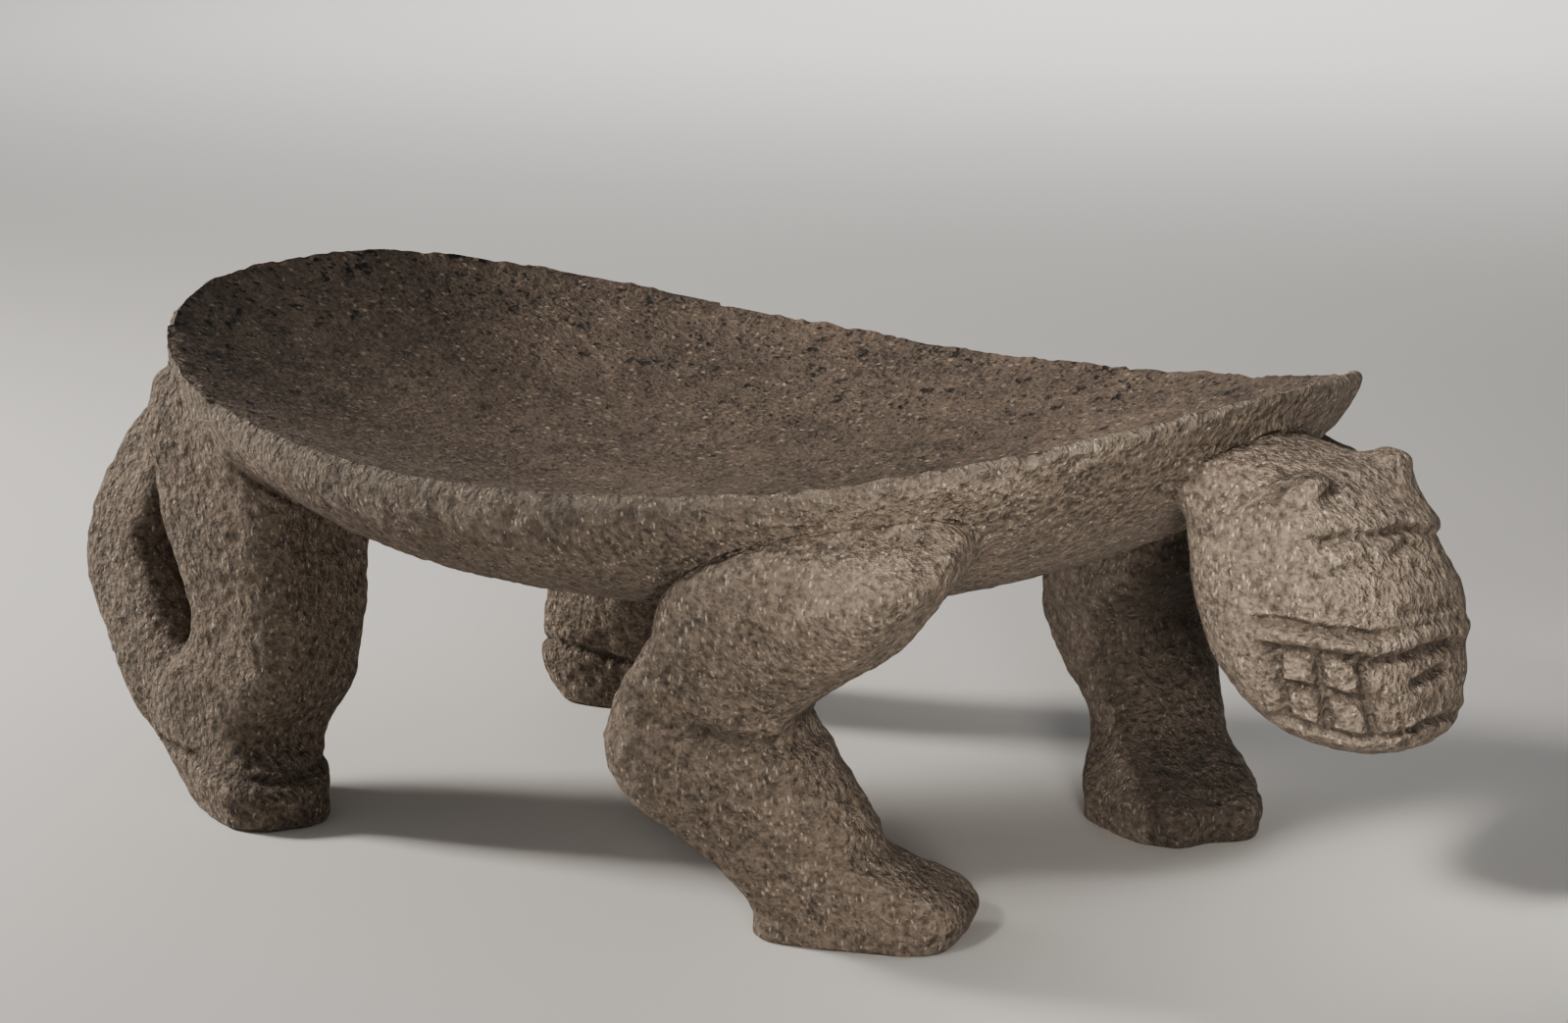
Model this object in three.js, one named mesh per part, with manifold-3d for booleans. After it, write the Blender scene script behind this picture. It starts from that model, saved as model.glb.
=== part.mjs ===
// A ceremonial metate (grinding stone) carved from one block of volcanic stone.
// It stands on four bent legs with paws and carries an oval dished grinding plate,
// with a big cat's head under the front lip and a looped tail at the rear.
// The real block is one piece of stone. Each carved member is its own solid here,
// and the members meet face to face where the stone runs on from one to the next.
// Frame: millimetres, +X towards the head, +Y the animal's left, +Z up, and the
// origin on the floor under the middle of the whole.
import * as THREE from 'three';
import { mergeVertices } from 'three/addons/utils/BufferGeometryUtils.js';
import Module from 'manifold-3d';

const wasm = await Module();
wasm.setup();

const degrees = THREE.MathUtils.degToRad;

// Gap kept where two members meet
const JOINT_GAP = 0.3;

// Grinding plate: an oval with raised ends, dished above and hull-shaped below
const PLATE_LENGTH = 654;
const PLATE_WIDTH = 460;
const RIM_SIDE_HEIGHT = 212;
const RIM_END_RISE = 48;
const RIM_WIDTH = 5;
const RIM_EDGE = 12;
const DISH_DEPTH = 42;
const HULL_DEPTH = 65;
const HULL_FRONT_DROP = 10;

// Front legs, measured inwards from the front lip and from the side rim: each stands
// in an upright plane that is turned inwards, bends back and out at the elbow, and
// ends in a haunch that runs forward along the hull and up into it
const FRONT_FOOT_INSET = 147;
const FRONT_FOOT_SIDE_INSET = 110;
const ELBOW_BACK = 59;
const ELBOW_OUT = 45;
const FRONT_LEG_ABOVE_RIM = 6;
const FRONT_LEG_LENGTH = 130;
const FRONT_LEG_WIDTH = 96;
const FRONT_LEG_TURN = degrees(30);

// Rear legs, measured inwards from the rear rim and from the side rim
const REAR_FOOT_INSET = 122;
const REAR_FOOT_SIDE_INSET = 75;
const HOCK_AHEAD = 10;
const HOCK_IN = 13;
const REAR_LEG_ABOVE_RIM = 28;
const REAR_LEG_LENGTH = 112;
const REAR_LEG_WIDTH = 94;
const REAR_PAW_TURN = degrees(26);

// How far the left front foot stands ahead of the right one, halved
const STRIDE = 7;

// Head: how far the chin lies beyond the front lip and below the side rim, and the
// face measured upwards from the chin
const CHIN_BEYOND_LIP = 49;
const CHIN_BELOW_RIM = 116;
const HEAD_HEIGHT = 142;
const HEAD_LENGTH = 112;
const HEAD_WIDTH = 122;
const HEAD_LEAN = 55;
const MOUTH_RISE = 6;
const JAW_ABOVE_CHIN = 20;
const TOOTH_ROW_HEIGHT = 18;
const LIP_ABOVE_CHIN = 61;
const LIP_BAND = 10;
const LIP_RELIEF = 3.5;
const GROOVE_WIDTH = 8;
const GROOVE_DEPTH = 5;
const EYE_ABOVE_CHIN = 101;
const EYE_HEIGHT = 16;
const BROW_ABOVE_CHIN = 115;
const BROW_HEIGHT = 14;
const EYE_RELIEF = 2.5;
const EYE_ANGLE = degrees(38);
const EYE_SPREAD = degrees(17);
const EAR_ABOVE_CHIN = 134;
const EAR_HEIGHT = 27;
const EAR_RELIEF = 11;
const EAR_ANGLE = degrees(44);
const EAR_SPREAD = degrees(22);

// Tail: its root under the rear rim, its loop, and where it meets the right heel
const TAIL_ROOT_INSET = 65;
const TAIL_ROOT_ASIDE = 30;
const TAIL_ROOT_ABOVE_RIM = 2;
const TAIL_LOOP_BACK = 54;
const TAIL_LOOP_ASIDE = 105;
const TAIL_HEEL_HEIGHT = 42;
const TAIL_THICKNESS = 42;
const TAIL_BREADTH = 56;
const TAIL_TURN = degrees(-10);

// Roundness of the outlines: 2 is an ellipse, higher is squarer
const PLATE_END_POWER = 2.1;
const PLATE_SIDE_POWER = 2.4;
const LEG_POWER = 2.9;
const HEAD_POWER = 2.5;
const TAIL_POWER = 3.4;

// Shape of the plate: how much of the rim's rise follows the square of the way out,
// how thin the rim's edge gets at the two ends and how soon it thickens inwards, how
// flat the hull's and the dish's middle is, and how steep the hull's side is
const RIM_SQUARE_SHARE = 0.8;
const EDGE_THIN_SHARE = 0.75;
const EDGE_FLATNESS = 12;
const HULL_FLATNESS = 2.5;
const HULL_SIDE_SLOPE = 0.5;
const HULL_END_SLOPE = 0.75;
const DISH_FLATNESS = 2.2;

const PLATE_SIDES = 88;
const PLATE_RINGS = 9;
const LEG_SIDES = 30;
const LEG_LEVELS = 24;
const HEAD_SIDES = 72;
const HEAD_LEVELS = 46;
const TAIL_SIDES = 18;
const TAIL_STEPS = 22;

// A point of a rounded outline with half-sizes of one, at the given angle.
function roundedPoint(angle, alongPower, acrossPower) {
  const c = Math.cos(angle);
  const s = Math.sin(angle);
  const along = Math.sign(c) * Math.abs(c) ** (2 / alongPower);
  const across = Math.sign(s) * Math.abs(s) ** (2 / acrossPower);
  return new THREE.Vector2(along, across);
}

// One at zero, falling smoothly to nothing at plus and minus one.
function bell(value) {
  return Math.max(0, 1 - value * value) ** 2;
}

// Skins a stack of rings, lowest first, each counter-clockwise seen from above,
// and closes both ends on the middle of the end ring.
function skin(rings) {
  const sides = rings[0].length;
  const ends = [rings[0], rings[rings.length - 1]].map((ring) => {
    const middle = new THREE.Vector3();
    ring.forEach((point) => middle.add(point));
    return middle.divideScalar(sides);
  });
  const points = [...rings.flat(), ...ends];
  const lowEnd = points.length - 2;
  const highEnd = points.length - 1;
  const topRing = (rings.length - 1) * sides;
  const index = [];
  for (let side = 0; side < sides; side += 1) {
    const next = (side + 1) % sides;
    index.push(lowEnd, next, side);
    index.push(highEnd, topRing + side, topRing + next);
    for (let ring = 0; ring < topRing; ring += sides) {
      index.push(ring + side, ring + next, ring + sides + next);
      index.push(ring + side, ring + sides + next, ring + sides + side);
    }
  }
  const geometry = new THREE.BufferGeometry().setFromPoints(points);
  geometry.setIndex(index);
  return geometry;
}

// Height of the rim's top at a place along the plate, given as a share from -1 to 1.
function rimHeight(along) {
  const square = along * along;
  const share = RIM_SQUARE_SHARE * square + (1 - RIM_SQUARE_SHARE) * square * square;
  return RIM_SIDE_HEIGHT + RIM_END_RISE * share;
}

// A ring of the plate at a share of the way out from the middle, moved inwards by
// inset, with its height given by a function of the point and the share.
function plateRing(outShare, inset, heightAt) {
  const ring = [];
  for (let side = 0; side < PLATE_SIDES; side += 1) {
    const angle = (2 * Math.PI * side) / PLATE_SIDES;
    const unit = roundedPoint(angle, PLATE_END_POWER, PLATE_SIDE_POWER);
    const rim = new THREE.Vector2(unit.x * PLATE_LENGTH / 2, unit.y * PLATE_WIDTH / 2);
    const size = outShare * (rim.length() - inset);
    const place = rim.normalize().multiplyScalar(size);
    const along = (2 * place.x) / PLATE_LENGTH;
    ring.push(new THREE.Vector3(place.x, place.y, heightAt(along)));
  }
  return ring;
}

// Underside of the plate: an upright edge below the rim, thinner at the two ends,
// then a hull that is steep along the sides and slopes in more gently at the ends.
function hullHeight(along, outShare) {
  const edge = RIM_EDGE * (1 - EDGE_THIN_SHARE * along * along * outShare ** EDGE_FLATNESS);
  const depth = HULL_DEPTH + HULL_FRONT_DROP * along;
  const slope = HULL_SIDE_SLOPE + (HULL_END_SLOPE - HULL_SIDE_SLOPE) * along * along;
  return rimHeight(along) - edge - depth * (1 - outShare ** HULL_FLATNESS) ** slope;
}

function dishHeight(along, outShare) {
  return rimHeight(along) - DISH_DEPTH * (1 - outShare ** DISH_FLATNESS);
}

// Rings of the hull from the middle out to the edge. Growing it lowers and widens
// it, which leaves the gap between the plate and what is cut by it.
function hullRings(grow) {
  const rings = [];
  for (let step = 1; step <= PLATE_RINGS; step += 1) {
    const outShare = Math.sin((step / PLATE_RINGS) * (Math.PI / 2));
    rings.push(plateRing(outShare, -grow, (along) => hullHeight(along, outShare) - grow));
  }
  return rings;
}

function buildPlate() {
  const rings = hullRings(0);
  rings.push(plateRing(1, 0, rimHeight));
  for (let step = PLATE_RINGS; step >= 1; step -= 1) {
    const outShare = step / PLATE_RINGS;
    rings.push(plateRing(outShare, RIM_WIDTH, (along) => dishHeight(along, outShare)));
  }
  return skin(rings);
}

// Everything that the plate takes from the members below it: its own underside,
// carried straight up past the ends of the rim.
function buildPlateRoom() {
  const rings = hullRings(JOINT_GAP);
  const top = RIM_SIDE_HEIGHT + 2 * RIM_END_RISE;
  rings.push(plateRing(1, -JOINT_GAP, () => top));
  return skin(rings);
}

// A carved member as a stack of level slices. A smooth curve runs through the
// stations' centres, and another through their half-sizes and turn.
function memberRings(stations, sides, levels, power, grow, relief) {
  const centres = new THREE.CatmullRomCurve3(stations.map((one) => one.centre), false, 'catmullrom');
  const girths = new THREE.CatmullRomCurve3(stations.map((one) => one.girth), false, 'catmullrom');
  const rings = [];
  for (let level = 0; level <= levels; level += 1) {
    const centre = centres.getPoint(level / levels);
    const girth = girths.getPoint(level / levels);
    const ring = [];
    for (let side = 0; side < sides; side += 1) {
      const angle = (2 * Math.PI * side) / sides;
      const unit = roundedPoint(angle, power, power);
      const place = new THREE.Vector2(unit.x * girth.x, unit.y * girth.y);
      place.setLength(place.length() + grow + relief(place.angle(), centre.z, girth));
      place.rotateAround(new THREE.Vector2(), girth.z);
      ring.push(new THREE.Vector3(centre.x + place.x, centre.y + place.y, centre.z));
    }
    rings.push(ring);
  }
  return rings;
}

function noRelief() {
  return 0;
}

// Front leg, from the sole up: height as a share of the leg's height, the bend back
// and outwards as shares of the elbow's, the girth along and across, and the turn.
const FRONT_LEG_SHARES = [
  [0.00, -0.05, 0.00, 0.37, 0.34, 0.7],
  [0.09, -0.05, 0.02, 0.41, 0.37, 0.8],
  [0.21, 0.40, 0.55, 0.35, 0.33, 1.0],
  [0.32, 0.80, 0.90, 0.37, 0.37, 1.0],
  [0.43, 1.00, 1.00, 0.355, 0.40, 0.9],
  [0.55, 0.80, 0.88, 0.38, 0.42, 0.6],
  [0.68, 0.24, 0.92, 0.45, 0.45, 0.3],
  [0.80, -0.08, 0.97, 0.49, 0.47, 0.2],
  [0.88, -0.36, 0.88, 0.43, 0.45, 0.4],
  [0.95, -0.60, 0.66, 0.31, 0.31, 0.7],
  [1.00, -0.70, 0.56, 0.15, 0.15, 1.0],
];

function frontLegStations(side) {
  const footAhead = PLATE_LENGTH / 2 - FRONT_FOOT_INSET;
  const footAside = PLATE_WIDTH / 2 - FRONT_FOOT_SIDE_INSET;
  const legHeight = RIM_SIDE_HEIGHT + FRONT_LEG_ABOVE_RIM;
  return FRONT_LEG_SHARES.map(([up, back, out, along, across, turn]) => ({
    centre: new THREE.Vector3(
      footAhead - ELBOW_BACK * back + side * STRIDE * (1 - up),
      side * (footAside + ELBOW_OUT * out),
      legHeight * up,
    ),
    girth: new THREE.Vector3(
      FRONT_LEG_LENGTH * along,
      FRONT_LEG_WIDTH * across,
      -side * FRONT_LEG_TURN * turn,
    ),
  }));
}

// Rear leg, from the sole up, in the same order, bent at the hock.
const REAR_LEG_SHARES = [
  [0.00, 0.50, 0.24, 0.425, 0.33, 1.0],
  [0.08, -0.20, 0.30, 0.47, 0.36, 1.0],
  [0.17, -1.10, 0.69, 0.375, 0.38, 0.5],
  [0.29, 0.10, 0.85, 0.37, 0.40, 0.0],
  [0.40, 1.00, 1.00, 0.34, 0.38, 0.0],
  [0.50, 0.90, 1.00, 0.37, 0.40, 0.0],
  [0.62, 0.40, 1.00, 0.41, 0.44, 0.0],
  [0.73, -0.10, 1.23, 0.43, 0.47, 0.0],
  [0.83, -0.70, 1.38, 0.46, 0.50, 0.0],
  [0.93, -0.90, 1.77, 0.41, 0.45, 0.0],
  [1.00, -0.50, 2.38, 0.36, 0.38, 0.0],
];

function rearLegStations(side) {
  const footBehind = PLATE_LENGTH / 2 - REAR_FOOT_INSET;
  const footAside = PLATE_WIDTH / 2 - REAR_FOOT_SIDE_INSET;
  const legHeight = RIM_SIDE_HEIGHT + REAR_LEG_ABOVE_RIM;
  return REAR_LEG_SHARES.map(([up, ahead, inward, along, across, turn]) => ({
    centre: new THREE.Vector3(
      -footBehind + HOCK_AHEAD * ahead,
      side * (footAside - HOCK_IN * inward),
      legHeight * up,
    ),
    girth: new THREE.Vector3(
      REAR_LEG_LENGTH * along,
      REAR_LEG_WIDTH * across,
      side * REAR_PAW_TURN * turn,
    ),
  }));
}

// Head, from the chin up: height, the lean back towards the neck, and the girth.
const HEAD_SHARES = [
  [0.00, 0.00, 0.05],
  [0.03, -0.06, 0.21],
  [0.09, 0.02, 0.34],
  [0.22, 0.16, 0.44],
  [0.37, 0.29, 0.485],
  [0.55, 0.42, 0.50],
  [0.73, 0.56, 0.473],
  [0.88, 0.78, 0.43],
  [0.95, 0.90, 0.36],
  [0.985, 0.96, 0.25],
  [1.00, 0.98, 0.09],
];

const CHIN_FORWARD = PLATE_LENGTH / 2 + CHIN_BEYOND_LIP;
const CHIN_HEIGHT = RIM_SIDE_HEIGHT - CHIN_BELOW_RIM;

const HEAD_STATIONS = HEAD_SHARES.map(([up, lean, girth]) => ({
  centre: new THREE.Vector3(CHIN_FORWARD - HEAD_LEAN * lean, 0, CHIN_HEIGHT + HEAD_HEIGHT * up),
  girth: new THREE.Vector3(HEAD_LENGTH * girth, HEAD_WIDTH * girth, 0),
}));

// The carved face: a lip band round the muzzle, a slit mouth in front, two rows of
// teeth at each side, and a brow, an eye and an ear on each side. The mouth's lines
// rise a little from the front to the sides.
const TOOTH_ANGLES = [degrees(90), degrees(67), degrees(48)];
const SLIT_END = degrees(22);
const MOUTH_END = degrees(95);
const MOUTH_FADE = degrees(12);

function groove(distance) {
  return bell((2 * distance) / GROOVE_WIDTH);
}

function faceRelief(angle, height, girth) {
  const turned = Math.abs(angle > Math.PI ? angle - 2 * Math.PI : angle);
  const up = height - CHIN_HEIGHT;
  const mouthUp = up - MOUTH_RISE * Math.sin(turned) ** 2;
  const radius = (girth.x + girth.y) / 2;
  const mouth = turned < MOUTH_END ? 1 : bell((turned - MOUTH_END) / MOUTH_FADE);
  const beside = bell((turned - EYE_ANGLE) / EYE_SPREAD);
  const ear = EAR_RELIEF * bell((turned - EAR_ANGLE) / EAR_SPREAD)
    * bell((2 * (up - EAR_ABOVE_CHIN)) / EAR_HEIGHT);
  const eye = EYE_RELIEF * beside * bell((2 * (up - EYE_ABOVE_CHIN)) / EYE_HEIGHT);
  const brow = EYE_RELIEF * beside * bell((2 * (up - BROW_ABOVE_CHIN)) / BROW_HEIGHT);
  const lip = LIP_RELIEF * mouth * bell((2 * (mouthUp - LIP_ABOVE_CHIN)) / LIP_BAND);
  const middleRow = JAW_ABOVE_CHIN + TOOTH_ROW_HEIGHT;
  const topRow = middleRow + TOOTH_ROW_HEIGHT;
  let cut = Math.max(groove(mouthUp - JAW_ABOVE_CHIN), groove(mouthUp - topRow));
  if (turned > TOOTH_ANGLES[2] || turned < SLIT_END) {
    cut = Math.max(cut, groove(mouthUp - middleRow));
  }
  if (mouthUp > JAW_ABOVE_CHIN && mouthUp < topRow) {
    cut = Math.max(cut, ...TOOTH_ANGLES.map((place) => groove(radius * (turned - place))));
  }
  return ear + eye + brow + lip - GROOVE_DEPTH * mouth * cut;
}

// Tail: a strap that leaves the plate under the rear rim, loops out behind on the
// right and comes back to the right heel. Places along it as shares of its reach.
const TAIL_SHARES = [
  [0.00, 0.00, 1.00],
  [0.27, 0.30, 0.99],
  [0.58, 0.62, 0.87],
  [0.84, 0.84, 0.67],
  [0.92, 0.98, 0.46],
  [0.50, 1.06, 0.26],
  [0.02, 1.12, 0.09],
  [-0.45, 1.14, 0.02],
];

function tailRings() {
  const rootBehind = PLATE_LENGTH / 2 - TAIL_ROOT_INSET;
  const rootHeight = RIM_SIDE_HEIGHT + TAIL_ROOT_ABOVE_RIM;
  const path = new THREE.CatmullRomCurve3(TAIL_SHARES.map(([back, aside, up]) => new THREE.Vector3(
    -rootBehind - TAIL_LOOP_BACK * back,
    -TAIL_ROOT_ASIDE - TAIL_LOOP_ASIDE * aside,
    TAIL_HEEL_HEIGHT + (rootHeight - TAIL_HEEL_HEIGHT) * up,
  )), false, 'catmullrom');
  const across = new THREE.Vector3(Math.cos(TAIL_TURN), Math.sin(TAIL_TURN), 0);
  const rings = [];
  for (let step = 0; step <= TAIL_STEPS; step += 1) {
    const centre = path.getPoint(step / TAIL_STEPS);
    const tangent = path.getTangent(step / TAIL_STEPS);
    const wide = across.clone().addScaledVector(tangent, -across.dot(tangent)).normalize();
    const deep = tangent.clone().cross(wide);
    const ring = [];
    for (let side = 0; side < TAIL_SIDES; side += 1) {
      const unit = roundedPoint((2 * Math.PI * side) / TAIL_SIDES, TAIL_POWER, TAIL_POWER);
      const point = centre.clone();
      point.addScaledVector(wide, unit.x * TAIL_BREADTH / 2);
      point.addScaledVector(deep, unit.y * TAIL_THICKNESS / 2);
      ring.push(point);
    }
    rings.push(ring);
  }
  return rings;
}

// Booleans: a closed geometry as a solid, and a solid back as a geometry.
function toSolid(geometry) {
  const plain = geometry.clone();
  plain.deleteAttribute('normal');
  plain.deleteAttribute('uv');
  const merged = mergeVertices(plain);
  return new wasm.Manifold(new wasm.Mesh({
    numProp: 3,
    vertProperties: new Float32Array(merged.attributes.position.array),
    triVerts: new Uint32Array(merged.index.array),
  }));
}

function toGeometry(solid) {
  const { vertProperties, triVerts } = solid.getMesh();
  const geometry = new THREE.BufferGeometry();
  geometry.setAttribute('position', new THREE.BufferAttribute(vertProperties, 3));
  geometry.setIndex(new THREE.BufferAttribute(triVerts, 1));
  geometry.computeVertexNormals();
  return geometry;
}

const plateRoom = toSolid(buildPlateRoom());

function leg(stations, grow) {
  return toSolid(skin(memberRings(stations, LEG_SIDES, LEG_LEVELS, LEG_POWER, grow, noRelief)));
}

function buildLeg(stations) {
  return leg(stations, 0).subtract(plateRoom);
}

function buildHead() {
  const rings = memberRings(HEAD_STATIONS, HEAD_SIDES, HEAD_LEVELS, HEAD_POWER, 0, faceRelief);
  return toSolid(skin(rings)).subtract(plateRoom);
}

function buildTail() {
  return toSolid(skin(tailRings())).subtract(plateRoom).subtract(leg(rearLegStations(-1), JOINT_GAP));
}

const metate = new THREE.Group();

function addMember(name, geometry, colour, roughness) {
  const material = new THREE.MeshStandardMaterial({ color: colour, roughness, metalness: 0 });
  const mesh = new THREE.Mesh(geometry, material);
  mesh.name = name;
  metate.add(mesh);
}

addMember('grinding_plate', toGeometry(toSolid(buildPlate())), 0x6d665e, 0.9);
addMember('head', toGeometry(buildHead()), 0x77736c, 0.95);
addMember('front_right_leg', toGeometry(buildLeg(frontLegStations(-1))), 0x6f6c66, 0.95);
addMember('front_left_leg', toGeometry(buildLeg(frontLegStations(1))), 0x6f6c66, 0.95);
addMember('rear_right_leg', toGeometry(buildLeg(rearLegStations(-1))), 0x6a6761, 0.95);
addMember('rear_left_leg', toGeometry(buildLeg(rearLegStations(1))), 0x6a6761, 0.95);
addMember('tail', toGeometry(buildTail()), 0x6a6761, 0.95);

// The origin lies under the middle of the whole, tail and muzzle included.
const middle = new THREE.Box3().setFromObject(metate, true).getCenter(new THREE.Vector3());
metate.position.set(-middle.x, -middle.y, 0);

export default metate;
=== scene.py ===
# %% [markdown]
# # A metate carved from one block of stone
# The object is a ceremonial grinding stone: an oval dished plate on four bent
# animal legs, with a big cat's head under the front lip and a looped tail behind.
# The CAD frame holds it as seven members with plain skins. Here each member gets
# the carver's detail, the members flow into one another as one stone does, and
# the stone gets its pecked and its ground finish.

import math

import bpy
import numpy as np
from mathutils import Matrix, Vector


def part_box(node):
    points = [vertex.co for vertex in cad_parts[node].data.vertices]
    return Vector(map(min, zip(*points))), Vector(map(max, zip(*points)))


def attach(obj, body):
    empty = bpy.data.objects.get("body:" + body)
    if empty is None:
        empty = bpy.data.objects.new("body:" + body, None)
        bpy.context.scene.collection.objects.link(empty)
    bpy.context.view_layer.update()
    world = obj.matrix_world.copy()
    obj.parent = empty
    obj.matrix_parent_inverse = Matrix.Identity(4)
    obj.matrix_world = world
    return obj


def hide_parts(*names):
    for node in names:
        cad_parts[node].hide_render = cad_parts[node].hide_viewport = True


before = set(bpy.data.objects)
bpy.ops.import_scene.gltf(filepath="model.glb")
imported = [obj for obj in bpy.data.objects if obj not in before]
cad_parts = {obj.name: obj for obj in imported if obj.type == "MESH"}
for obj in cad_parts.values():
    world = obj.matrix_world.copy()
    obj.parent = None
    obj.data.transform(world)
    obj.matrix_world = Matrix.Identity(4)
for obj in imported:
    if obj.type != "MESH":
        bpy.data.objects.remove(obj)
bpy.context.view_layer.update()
MM = 0.001

# %% [markdown]
# ## The camera
# The photograph was taken from the animal's right front, a little above the
# plate, with a long lens. A lens length follows from the focal length in pixels
# divided by the image width, times the sensor's width. A target point and two
# angles place the camera better than three free rotations would.

# %% The camera
IMAGE_WIDTH = 1599
FOCAL_PIXELS = 4500
SENSOR = 36.0
CAMERA_AZIMUTH, CAMERA_ELEVATION = math.radians(39.795), math.radians(11.848)
plate_low, plate_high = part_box("grinding_plate")
MIDDLE_SHIFT = (plate_low[0] + plate_high[0]) / 2.0 / MM
CAMERA_TARGET = Vector((MIDDLE_SHIFT - 167.7, 234.4, 100.0)) * MM
CAMERA_DISTANCE = 2550.1 * MM

away = Vector((
    math.sin(CAMERA_AZIMUTH) * math.cos(CAMERA_ELEVATION),
    -math.cos(CAMERA_AZIMUTH) * math.cos(CAMERA_ELEVATION),
    math.sin(CAMERA_ELEVATION),
))
camera_data = bpy.data.cameras.new("photo_camera")
camera_data.sensor_width = SENSOR
camera_data.lens = SENSOR * FOCAL_PIXELS / IMAGE_WIDTH
camera = bpy.data.objects.new("photo_camera", camera_data)
camera.location = CAMERA_TARGET + away * CAMERA_DISTANCE
camera.rotation_euler = away.to_track_quat("Z", "Y").to_euler()
bpy.context.scene.collection.objects.link(camera)
bpy.context.scene.camera = camera
print("lens", round(camera_data.lens, 2), "mm")

# %% [markdown]
# ## The sizes
# All lengths are in millimetres, measured from the middle of the plate. The whole
# is then moved so that its own middle stands at the origin, as in the CAD frame.

# %% The sizes
PLATE_LENGTH, PLATE_WIDTH = 654.0, 460.0
RIM_SIDE_HEIGHT, RIM_END_RISE = 212.0, 48.0
RIM_EDGE, EDGE_THIN, DISH_DEPTH = 12.0, 0.75, 42.0
HULL_DEPTH, HULL_FRONT_DROP = 65.0, 10.0
END_POWER, SIDE_POWER = 2.1, 2.4
HULL_CURVE, DISH_CURVE = 2.5, 2.2
LEG_POWER, HEAD_POWER, TAIL_POWER = 2.9, 2.5, 3.4
print("plate middle at", round(MIDDLE_SHIFT, 3), "mm")

# Feet and chin are measured from the plate's lips and side rims, as in the CAD source
FRONT_FOOT_X, FRONT_FOOT_Y = PLATE_LENGTH / 2.0 - 147.0, PLATE_WIDTH / 2.0 - 110.0
ELBOW_BACK, ELBOW_OUT, STRIDE = 59.0, 45.0, 7.0
FRONT_LEG_HEIGHT, FRONT_LEG_LENGTH, FRONT_LEG_WIDTH = RIM_SIDE_HEIGHT + 6.0, 130.0, 96.0
REAR_FOOT_X, REAR_FOOT_Y = 122.0 - PLATE_LENGTH / 2.0, PLATE_WIDTH / 2.0 - 75.0
HOCK_AHEAD, HOCK_IN = 10.0, 13.0
REAR_LEG_HEIGHT, REAR_LEG_LENGTH, REAR_LEG_WIDTH = RIM_SIDE_HEIGHT + 28.0, 112.0, 94.0
FRONT_LEG_TURN, REAR_PAW_TURN = math.radians(30.0), math.radians(26.0)
CHIN_X, CHIN_Z, HEAD_LEAN = PLATE_LENGTH / 2.0 + 49.0, RIM_SIDE_HEIGHT - 116.0, 55.0
HEAD_HEIGHT, HEAD_LENGTH, HEAD_WIDTH = 142.0, 112.0, 122.0
TAIL_START = (-262.0, -30.0, 42.0)
TAIL_BACK, TAIL_ASIDE, TAIL_RISE = 54.0, 105.0, 172.0
MEMBER_ROWS, TAIL_PATH_ROWS = 600, 180


def bell(value):
    """One at zero, falling smoothly to nothing at plus and minus one."""
    return np.maximum(0.0, 1.0 - value * value) ** 2


def ramp(value, low, high):
    """Nothing below low, one above high, and a smooth S between them."""
    t = np.clip((value - low) / (high - low), 0.0, 1.0)
    return t * t * (3.0 - 2.0 * t)


# %% [markdown]
# ## Uneven hand work
# A carved stone is never quite smooth. Value noise gives such unevenness: random
# heights on a lattice, joined by smooth steps. Written as whole arrays it costs
# little, and a hash of the lattice point in place of a random generator makes it
# the same on every run.

# %% Uneven hand work


def lattice_value(i, j, k):
    """A number from -1 to 1 that depends only on the whole numbers i, j and k."""
    mixed = (i * 73856093) ^ (j * 19349663) ^ (k * 83492791)
    mixed = (mixed ^ (mixed >> 13)) * 1274126177
    return ((mixed ^ (mixed >> 16)) & 0xFFFF) / 32767.5 - 1.0


def unevenness(points, size):
    """Value noise: the eight lattice values round a point, mixed by smooth steps."""
    scaled = points / size
    base = np.floor(scaled).astype(np.int64)
    t = scaled - base
    t = t * t * (3.0 - 2.0 * t)
    total = np.zeros(points.shape[:-1])
    for corner in range(8):
        step = np.array([corner & 1, corner >> 1 & 1, corner >> 2 & 1])
        weight = np.prod(np.where(step == 1, t, 1.0 - t), axis=-1)
        total += weight * lattice_value(*np.moveaxis(base + step, -1, 0))
    return total


def hand_work(points, amount=1.0):
    """How far the carver's hand strays from the true shape, in millimetres: two slow waves,
    two quick ones and the dents of single blows, each with a lattice of its own."""
    slow = 0.9 * unevenness(points, 52.0) + 0.55 * unevenness(points + 31.0, 21.0)
    quick = 0.6 * unevenness(points - 17.0, 9.0) + 0.55 * unevenness(points + 5.0, 4.6)
    blows = -0.8 * ramp(unevenness(points + 11.0, 7.0), 0.2, 0.75)
    return amount * (slow + quick + blows)


lip_stray = float(hand_work(np.array([PLATE_LENGTH / 2.0, 0.0, RIM_SIDE_HEIGHT])))
print("hand work at the lip", round(lip_stray, 2), "mm")

# %% [markdown]
# ## The plate as a formula
# The rim is a rounded outline whose height rises towards both ends. Any point
# below it has a share: how far out it lies between the middle and the outline.
# The underside drops with that share, and the dish sinks with it.

# %% The plate as a formula


def rim_height(x):
    """Side height plus the end rise, which follows mostly the square of the way out."""
    square = (2.0 * x / PLATE_LENGTH) ** 2
    return RIM_SIDE_HEIGHT + RIM_END_RISE * (0.8 * square + 0.2 * square * square)


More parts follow.
